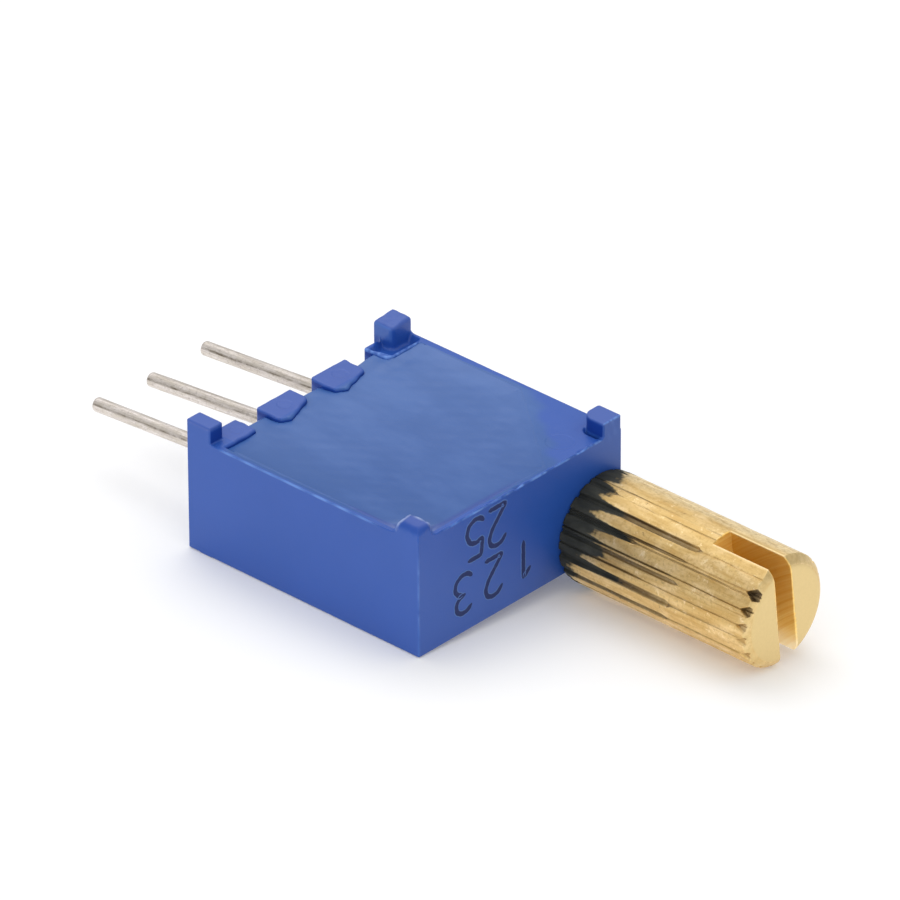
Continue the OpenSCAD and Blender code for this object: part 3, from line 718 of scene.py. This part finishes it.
# the journal and the worm, which sit inside the housing
worm_mesh = frame["nodes"]["adjusting_shaft"].data.copy()
inner = bmesh.new()
inner.from_mesh(worm_mesh)
bmesh.ops.delete(inner, geom=[face for face in inner.faces if outside(face)], context="FACES")
bmesh.ops.holes_fill(inner, edges=[edge for edge in inner.edges if edge.is_boundary])
inner.to_mesh(worm_mesh)
inner.free()
worm = put("worm_and_journal", worm_mesh)
turned = Finish("turned_brass")
place = turned.millimetres((9, 1, 1))
rings = turned.noise(place, 2.0, 3.0)
give(worm, turned.surface(
    Base_Color=turned.blend(rings, (0.66, 0.44, 0.17), (0.84, 0.62, 0.30)), Metallic=1.0,
    Roughness=turned.math("MULTIPLY_ADD", rings, 0.2, 0.2),
    Normal=turned.bump(rings, 0.005, 0.4)), "shaft", "shaft_brass")

# ---- Sealing ring and clip ----
# A moulded rubber ring in the shaft's outer neck keeps flux and water out, and a fork stamped
# from sheet steel is pushed over the inner neck so that the shaft can't be pulled out.

coat(even_finish("dark_rubber", (2.0, (0.16, 0.035, 0.022), (0.24, 0.06, 0.04)),
                 rough=(10.0, 0.2, 0.45), bump=(20.0, 0.006, 0.5)), "o_ring")

coat(even_finish("stamped_steel", (2.0, (0.50, 0.51, 0.53), (0.68, 0.69, 0.71)),
                 rough=(5.0, 0.2, 0.25), bump=(6.0, 0.004, 0.4), metallic=1.0, scale=(1, 1, 10)), "retaining_clip")

# ---- Substrate and its films ----
# A pressed and fired alumina plate. A black resistive ink and a silver conductor ink are
# screen-printed on its underside and fired.

coat(even_finish("fired_alumina", (3.0, (0.80, 0.78, 0.71), (0.88, 0.86, 0.80)),
                 rough=(18.0, 0.15, 0.55), bump=(30.0, 0.005, 0.6)), "substrate")

coat(even_finish("resistive_ink", (6.0, (0.018, 0.018, 0.020), (0.045, 0.043, 0.045)),
                 rough=(14.0, 0.3, 0.3), bump=(20.0, 0.006, 0.5)), "resistive_track")

coat(even_finish("conductor_ink", (5.0, (0.52, 0.50, 0.44), (0.70, 0.68, 0.61)),
                 rough=(14.0, 0.25, 0.4), bump=(20.0, 0.006, 0.5), metallic=1.0),
     "wiper_conductor", "end_conductor_1", "end_conductor_3")

# ---- Pins and their solder ----
# Three lengths of tinned copper wire, soldered under the substrate's edge and led out through
# the notches. They are cut off square, so each tip has a slightly rolled edge.

bend_r, tip_round = 0.8, 0.06
lead_steps = [*np.linspace(0, 6.52, 90)[1:], 6.56, 6.60, 6.63, 6.65]
score_turn = math.radians(298)

tinned = Finish("tinned_wire")
drawn = tinned.add("ShaderNodeAttribute", attribute_name="drawn").outputs["Vector"]
lengthwise = tinned.add("ShaderNodeMapping", {"Vector": drawn, "Scale": (3.5, 3.5, 0.7)}).outputs[0]
streaks = tinned.noise(lengthwise, 1.0, 5.0, 0.75)
round_about = tinned.add("ShaderNodeMapping", {"Vector": drawn, "Scale": (1.5, 1.5, 2.2)}).outputs[0]
blotch = tinned.noise(round_about, 1.0, 4.0, 0.7)
pits = tinned.noise(tinned.millimetres(), 9.0, 3.0, 0.7)
tin = tinned.blend(tinned.ramp(streaks, (0.34, 0.0), (0.66, 1.0)), (0.46, 0.41, 0.37), (0.80, 0.75, 0.72))
tin = tinned.blend(tinned.ramp(blotch, (0.4, 0.55), (0.58, 0.0)), tin, (0.52, 0.47, 0.39))
tin = tinned.blend(tinned.ramp(pits, (0.34, 0.5), (0.46, 0.0)), tin, (0.34, 0.30, 0.27))
# painted reflection: a dark line along the wire
scored = tinned.math("MULTIPLY", tinned.mask("score"), tinned.ramp(blotch, (0.35, 0.95), (0.6, 0.15)))
tin = tinned.blend(scored, tin, (0.13, 0.10, 0.07))
tinned_surface = tinned.surface(
    Base_Color=tin, Metallic=1.0, Roughness=tinned.math("MULTIPLY_ADD", blotch, 0.25, 0.36),
    Normal=tinned.bump(pits, 0.01, 0.5, tinned.bump(streaks, 0.015, 0.6)))


def wire(index, mount):
    """One pin, swept along its straight stretch under the substrate, its bend and its lead."""
    high = np.array(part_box(f"pin_{index}")[1]) / MM
    away = np.array(mount["axis"])
    droop = math.asin(-away[2])
    y = pin_gaps[index - 1]
    path = [(high[0] + (pin_wall_x - high[0]) * t, pin_level, 0.0) for t in np.linspace(0, 1, 8)]
    path += [(pin_wall_x - bend_r * math.sin(a), pin_level - bend_r * (1 - math.cos(a)), a)
             for a in np.linspace(0, droop, 4)[1:]]
    x0, z0, _ = path[-1]
    path += [(x0 - s * math.cos(droop), z0 - s * math.sin(droop), droop) for s in lead_steps]
    ring = np.linspace(0, 2 * math.pi, 60, endpoint=False)
    # a painted dark reflection that runs along the wire, a little to the side of the top
    off_score = np.degrees(np.abs((ring - score_turn + math.pi) % (2 * math.pi) - math.pi))
    verts, drawn_at, score, run = [], [], [], 0.0
    for i, (x, z, a) in enumerate(path):
        if i:
            run += math.dist((x, z), path[i - 1][:2])
        left = lead_steps[-1] + bend_r * droop - run + (high[0] - pin_wall_x)
        end = min(1.0, math.sqrt(max(0.0, 1 - (1 - min(left, tip_round) / tip_round) ** 2)) * 0.28 + 0.72)
        uneven = waves(np.cos(ring) * 0.5 + 3 * index, np.sin(ring) * 0.5 + run * 0.25, 41, 0.7)
        r = wire_r * end - 0.003 - 0.004 * uneven
        up = r * np.cos(ring)
        verts += [(x - u * math.sin(a), y + v, z + u * math.cos(a)) for u, v in zip(up, r * np.sin(ring))]
        drawn_at += [(math.cos(t), math.sin(t) + 5 * index, run) for t in ring]
        score += list(ease(9, 3, off_score + 2.5 * math.sin(run * 1.1 + index)))
    n, rows = len(ring), len(path)
    quads = [(i * n + j, (i + 1) * n + j, (i + 1) * n + (j + 1) % n, i * n + (j + 1) % n)
             for i in range(rows - 1) for j in range(n)]
    verts += [(path[0][0], y, path[0][1]), (path[-1][0] - 0.003, y, path[-1][1])]
    drawn_at += [(0, 5 * index, 0), (0, 5 * index, run)]
    caps = [(j, (j + 1) % n, n * rows) for j in range(n)]
    caps += [((rows - 1) * n + (j + 1) % n, (rows - 1) * n + j, n * rows + 1) for j in range(n)]
    mesh = bpy.data.meshes.new(f"lead_{index}")
    mesh.from_pydata([tuple(c * MM for c in v) for v in verts], [], quads + caps)
    mesh.shade_smooth()
    mesh.set_sharp_from_angle(angle=math.radians(50))
    layer = mesh.attributes.new("drawn", "FLOAT_VECTOR", "POINT")
    layer.data.foreach_set("vector", np.array(drawn_at, np.float32).ravel())
    piece = put(f"lead_{index}", mesh)
    paint(piece, score=score + [0, 0])
    give(piece, tinned_surface, "case", "tinned_wire", f"pin_{index}")


for index, mount in enumerate(frame["record"]["mounts"][:3], 1):
    wire(index, mount)

coat(even_finish("reflowed_solder", (4.0, (0.48, 0.49, 0.50), (0.64, 0.65, 0.66)),
                 rough=(9.0, 0.25, 0.2), bump=(8.0, 0.01, 0.5), metallic=1.0),
     "solder_joint_1", "solder_joint_2", "solder_joint_3")

# ---- Potting ----
# Blue epoxy, poured over the substrate and cured. It wets the rim, sinks in the notches and
# climbs the front post, and its skin keeps the slow ripples of the pour.

plate_low, plate_high = (-3.465, -4.045, ledge_z), (4.665, 3.815, 3.2)


def pour_z(x, y):
    """Height of the cured surface inside the rim."""
    edge = inside_rim(x, y)
    inward = x - pads_end_x
    inside = np.maximum(edge, 0)
    level = 4.07 + 0.126 * np.exp(-inside / 0.42) * ease(-0.2, 0.5, inward)
    level = level - 0.05 * ease(0.6, 3.5, np.minimum(edge, inward))
    level = level - 0.04 * ease(0.2, -0.4, inward) - 0.45 * ease(-0.55, -1.0, inward)
    level = level + 0.07 * ease(2.2, 2.8, y) * ease(-1.0, -0.5, inward) * ease(0.5, 0.0, inward)
    climb = np.hypot(np.maximum(front_post_x - x, 0), np.maximum(y - front_post_high, 0))
    off_outer = np.minimum(case_high[0] - wall_t - x, y - case_low[1] - wall_t)
    level = level + 0.54 * np.exp(-climb / 0.25) * ease(-0.02, 0.14, off_outer) - 0.1 * np.maximum(-edge, 0)
    return level + (0.014 * waves(x, y, 21, 2.6) + 0.005 * waves(x, y, 22, 0.8)) * ease(0, 0.5, inside)


def pour_form(x, y, z):
    """Distance to the potting's surface, in millimetres."""
    pour = np.maximum((z - pour_z(x, y)) * 0.9, 1.9 - z)
    walls = np.maximum(pin_wall_x + 0.03 - x, -inside_rim(x, y) - 0.2)
    keyed = 0.15 * ease(0.3, 0.15, inside_rim(x, y)) * ease(3.9, 4.05, z) * ease(-3.2, -3.0, x)
    keyed = np.maximum(keyed, 0.15 * ease(3.2, 3.5, x) * ease(-3.5, -3.7, y) * ease(3.9, 4.05, z))
    pour = np.maximum(np.maximum(pour, walls), -(case_form(x, y, z) + 0.004 + keyed))
    pour = np.maximum(pour, far_ledge(x, y) + 0.01)
    plate = block(x, y, z, plate_low, plate_high, 0.01)
    pour = np.maximum(pour, -plate)
    return np.maximum(pour, -np.maximum(z - 3.0, pads_end_x + 0.05 - x))


def wet_edge(points, normals):
    """Normals that follow the cured surface right out to its thin edge."""
    x, y, z = points
    by = 1e-3
    up = np.array([pour_z(x - by, y) - pour_z(x + by, y), pour_z(x, y - by) - pour_z(x, y + by),
                   2 * by + 0 * x])
    up /= np.linalg.norm(up, axis=0)
    return np.where(np.abs(z - pour_z(x, y)) < 0.02, up, normals)


potting, potting_points = skin(
    "epoxy_pour", pour_form,
    lines((-4.54, 0.045), (-3.2, 0.085), (1.4, 0.05), (4.66, 0.035), (5.04, 1)),
    lines((-4.79, 0.035), (-4.4, 0.045), (-3.4, 0.08), (1.0, 0.05), (4.4, 0.035), (4.79, 1)),
    lines((1.8, 0.2), (3.2, 0.1), (3.9, 0.04), (4.4, 0.05), (4.9, 1)), shade=wet_edge)
px, py, pz = potting_points
# a painted highlight on the potting's crest by the front post, and a faint painted glow round the post
bead = ease(0.17, 0.03, case_form(px, py, pz)) * ease(4.22, 4.36, pz) * (px > 3.3) * (py < -3.3)
bead *= np.clip(0.55 + 0.6 * waves(px, py, 28, 0.3), 0, 0.9)
off_post = np.hypot(np.maximum(front_post_x - px, 0), np.maximum(py - front_post_high, 0))
bead = np.maximum(bead, 0.3 * np.exp(-(off_post / 0.45) ** 2) * (pz > 4.0))
# painted shade: a dark line in the potting where it meets the rim's inner wall
crease = np.maximum(ease(0.2, 0.04, case_high[0] - wall_t - px) * ease(0.8, -1.0, py) * ease(-4.1, -3.7, py),
                    ease(0.12, 0.02, py - case_low[1] - wall_t) * ease(1.4, 2.4, px) * ease(4.0, 3.7, px))
paint(potting, bead=bead, crease=crease)

epoxy = Finish("cured_epoxy")
skin_noise = epoxy.noise(epoxy.millimetres((1.0, 0.55, 1.0)), 0.8, 1.0, 0.5)
resin = resin_tone(epoxy)
# painted shade along the rim's inner wall
resin = epoxy.blend(epoxy.math("MULTIPLY", epoxy.mask("crease"), 0.65), resin, (0.014, 0.050, 0.32))
# painted highlight: a pale blue along the bead by the front post
resin = epoxy.blend(epoxy.mask("bead"), resin, (0.42, 0.52, 0.78))
give(potting, epoxy.surface(
    Base_Color=resin, Roughness=epoxy.math("MULTIPLY_ADD", skin_noise, 0.12, 0.34),
    Normal=epoxy.bump(skin_noise, 0.03, 0.3)), "case", "potting", "epoxy_fill")

# ---- Marking ----
# Plain numbers that a laser has scorched into the shaft side: a dark sunk line with a pale
# raised rim on each side of it.

strokes = {
    "1": [[(0.12, 0.76), (0.38, 0.99)], [(0.38, 1.0), (0.38, 0.0)]],
    "2": [[(0.05, 0.8), (0.2, 0.96), (0.4, 1.0), (0.6, 0.93), (0.66, 0.75), (0.55, 0.52), (0.05, 0.0),
           (0.68, 0.0)]],
    "3": [[(0.06, 0.86), (0.22, 0.98), (0.42, 1.0), (0.6, 0.9), (0.62, 0.7), (0.5, 0.56), (0.28, 0.52)],
          [(0.36, 0.52), (0.54, 0.48), (0.67, 0.32), (0.62, 0.12), (0.42, 0.0), (0.2, 0.01), (0.04, 0.14)]],
    "5": [[(0.62, 1.0), (0.14, 1.0), (0.09, 0.56), (0.32, 0.63), (0.54, 0.56), (0.66, 0.34), (0.58, 0.1),
           (0.36, 0.0), (0.16, 0.03), (0.03, 0.15)]],
}
profile = [(-0.135, 0.0, 0.0), (-0.1, 0.009, 0.3), (-0.072, 0.005, 1.0), (0.0, 0.002, 1.0), (0.072, 0.005, 1.0),
           (0.1, 0.009, 0.3), (0.135, 0.0, 0.0)]
# each row: its figures, where it starts along Y, its foot, its figures' height, and their spacing
rows = [("123", 0.62, 2.15, 1.42, 1.42), ("25", -0.62, 3.95, 1.42, 1.05)]
figure_width, step = 0.92, 0.05
verts, faces, scorch = [], [], []
for text, start_y, top_z, size, advance in rows:
    for position, figure in enumerate(text):
        for level, stroke in enumerate(strokes[figure]):
            way = np.array([(start_y - position * advance - u * size * figure_width, top_z - v * size)
                            for u, v in stroke])
            knots = np.concatenate([[0], np.cumsum(np.linalg.norm(np.diff(way, axis=0), axis=1))])
            t = np.linspace(0, knots[-1], max(8, int(knots[-1] / step)))
            line = np.stack([np.interp(t, knots, way[:, 0]), np.interp(t, knots, way[:, 1])], 1)
            for _ in range(3):
                line[1:-1] = (line[:-2] + 2 * line[1:-1] + line[2:]) / 4
            along = np.gradient(line, axis=0)
            along /= np.linalg.norm(along, axis=1)[:, None]
            across = np.stack([-along[:, 1], along[:, 0]], 1)
            base = len(verts)
            for i, (point, side) in enumerate(zip(line, across)):
                thick = 1 + 0.1 * math.sin(i * 1.7 + position) * math.sin(i * 0.6)
                ends = min(1.0, 0.35 + 0.33 * min(i, len(line) - 1 - i))
                for offset, height, burn in profile:
                    y, z = point + side * offset * thick * ends
                    verts.append((case_high[0] - 0.001 + height + 0.001 * level, y, z))
                    scorch.append(burn * (0.93 + 0.07 * math.sin(i * 0.9 + position * 2)))
            width = len(profile)
            for i in range(len(line) - 1):
                for j in range(width - 1):
                    a = base + i * width + j
                    faces.append((a, a + 1, a + width + 1, a + width))
marking_mesh = bpy.data.meshes.new("side_numbers")
marking_mesh.from_pydata([tuple(c * MM for c in v) for v in verts], [], faces)
marking_mesh.shade_smooth()
marking = put("side_numbers", marking_mesh)
paint(marking, scorch=scorch)

scorched = Finish("scorched_blue")
place = scorched.millimetres()
patchy = scorched.ramp(scorched.noise(place, 7.0, 4.0), (0.3, 0.86), (0.6, 1.0))
burn = scorched.math("MULTIPLY", scorched.mask("scorch"), patchy)
burnt = ((0.0, (0.022, 0.092, 0.42)), (0.28, (0.10, 0.20, 0.50)), (0.8, (0.006, 0.020, 0.115)))
give(marking, scorched.surface(
    Base_Color=scorched.ramp(burn, *burnt), Roughness=0.75,
    Normal=scorched.bump(scorched.noise(place, 18.0), 0.02, 0.5)), "case", "housing_plastic")

# ---- Stage ----
# A pale floor that tilts as the part does when it lies on one long edge and the handle.

edge_to_shaft = shaft_y - case_low[1]
lift = math.asin(crest_r / math.hypot(edge_to_shaft, shaft_z)) - math.atan2(shaft_z, edge_to_shaft)
floor_mesh = bpy.data.meshes.new("floor")
floor_mesh.from_pydata([(-2, -2, 0), (2, -2, 0), (2, 2, 0), (-2, 2, 0)], [], [(0, 1, 2, 3)])
floor = put("floor", floor_mesh)
floor.location = (0, case_low[1] * MM, -0.00001)
floor.rotation_euler = (-lift, 0, 0)
paper = Finish("white_paper")
plain = paper.add("ShaderNodeBsdfDiffuse", {"Color": (0.88, 0.88, 0.88, 1)})
rays = paper.add("ShaderNodeLightPath")
lift_white = paper.math("MULTIPLY_ADD", rays.outputs["Is Camera Ray"], 0.14,
                        paper.math("MULTIPLY", rays.outputs["Is Glossy Ray"], 0.42))
glow = paper.add("ShaderNodeEmission", {"Strength": lift_white})
floor_mesh.materials.append(paper.end(
    paper.add("ShaderNodeAddShader", {0: plain.outputs[0], 1: glow.outputs[0]})))

# the camera sees plain white, and the part is lit by a sky that is brighter at the top
world = bpy.data.worlds.new("studio")
bpy.context.scene.world = world
studio = Finish(world, "ShaderNodeOutputWorld")
rays = studio.add("ShaderNodeLightPath")
seen = studio.math("MAXIMUM", rays.outputs["Is Camera Ray"], rays.outputs["Is Transmission Ray"])
way_up = studio.add("ShaderNodeSeparateXYZ", {0: studio.add("ShaderNodeTexCoord").outputs["Generated"]})
sky = studio.add("ShaderNodeMapRange", {"Value": way_up.outputs["Z"], "From Min": 0.0, "From Max": 1.0,
                                        "To Min": 0.5, "To Max": 1.02})
lit = studio.add("ShaderNodeBackground", {"Color": (1, 1, 1, 1), "Strength": sky.outputs["Result"]})
white = studio.add("ShaderNodeBackground", {"Color": (1, 1, 1, 1), "Strength": 1.0})
studio.end(studio.add("ShaderNodeMixShader", {0: seen, 1: lit.outputs[0], 2: white.outputs[0]}))


def lamp(name, place, aim, size, power):
    """A square soft box."""
    data = bpy.data.lights.new(name, "AREA")
    data.shape, data.size, data.energy = "SQUARE", size, power
    box = put(name, data)
    box.location = place
    box.rotation_euler = (Vector(aim) - Vector(place)).to_track_quat("-Z", "Y").to_euler()


middle = (0.003, 0.0, 0.002)
lamp("key", (-0.26, 0.21, 0.58), middle, 0.5, 1.16)
lamp("fill", (0.14, -0.66, 0.30), middle, 0.4, 0.56)

camera_data = bpy.data.cameras.new("camera")
camera_data.sensor_width, camera_data.lens = 36.0, 466.13
camera_data.clip_start, camera_data.clip_end = 0.01, 20.0
camera = put("camera", camera_data)
spot, aim = Vector((0.216758, -0.233121, 0.194908)), Vector((0.0016298, 0.0003908, 0.0040063))
camera.rotation_mode = "QUATERNION"
camera.location = spot
camera.rotation_quaternion = (aim - spot).to_track_quat("-Z", "Y") @ Matrix.Rotation(
    math.radians(-0.252), 3, "Z").to_quaternion()
bpy.context.scene.camera = camera
bpy.context.scene.view_settings.view_transform = "Standard"
